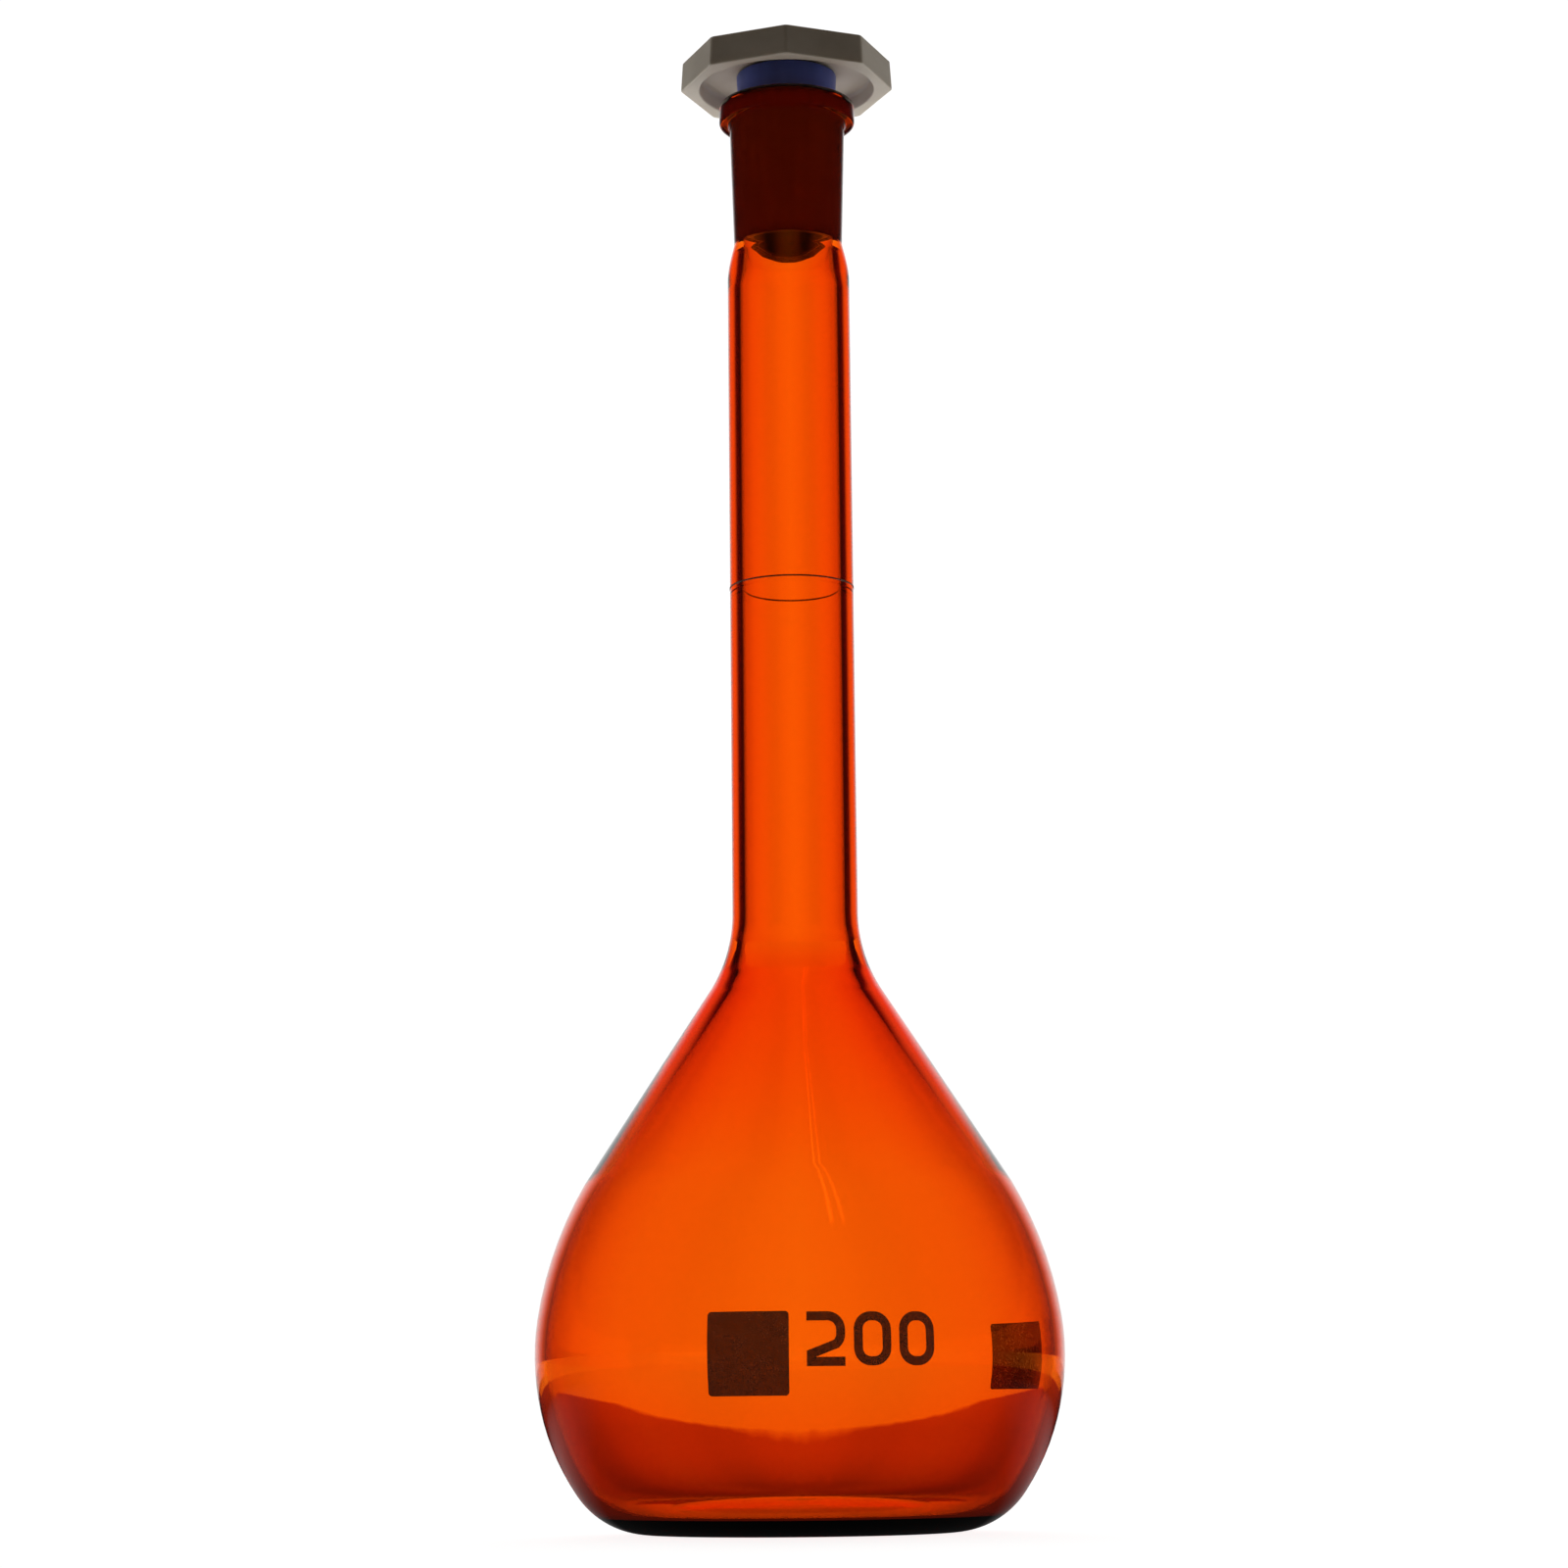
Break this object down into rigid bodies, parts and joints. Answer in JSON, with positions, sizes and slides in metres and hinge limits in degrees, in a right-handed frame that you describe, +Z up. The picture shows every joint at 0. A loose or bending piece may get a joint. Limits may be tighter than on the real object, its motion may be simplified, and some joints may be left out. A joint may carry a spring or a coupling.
{
  "type": "volumetric flask",
  "caption": "Amber volumetric flask: pear-shaped bulb with a pushed-up foot, long narrow neck with a graduation ring, and a lift-out tapered stopper with an octagonal head.",
  "frame": {"origin": "on the flask's axis, on the surface its foot stands on", "axes": "+Z up along the axis of the bulb, neck and stopper; -Y is the front with the marks; +X to its right"},
  "size_m": [0.0732, 0.0737, 0.212],
  "materials": {
    "amber_glass": "fire-polished amber borosilicate glass, ground inside the socket",
    "blue_plastic": "moulded blue polyethylene",
    "grey_plastic": "moulded warm grey polyethylene, satin",
    "brown_enamel": "fired-on dark brown enamel",
    "pale_enamel": "fired-on speckled enamel"
  },
  "bodies": {
    "flask": {"flask_glass": "amber_glass", "graduation_ring": "brown_enamel", "writing_square": "brown_enamel", "figure_two": "brown_enamel", "figure_zero_left": "brown_enamel", "figure_zero_right": "brown_enamel", "speckled_patch": "pale_enamel"},
    "plug": {"stopper_plug": "blue_plastic"},
    "cap": {"stopper_cap": "grey_plastic"}
  },
  "joints": [
    {"name": "stopper_lift", "type": "slide", "parent": "flask", "child": "plug", "axis": [0, 0, 1], "range_m": [0, 0.035]},
    {"name": "stopper_turn", "type": "hinge", "parent": "plug", "child": "cap", "pos_m": [0, 0, 0.2076], "axis": [0, 0, 1], "continuous": true}
  ]
}
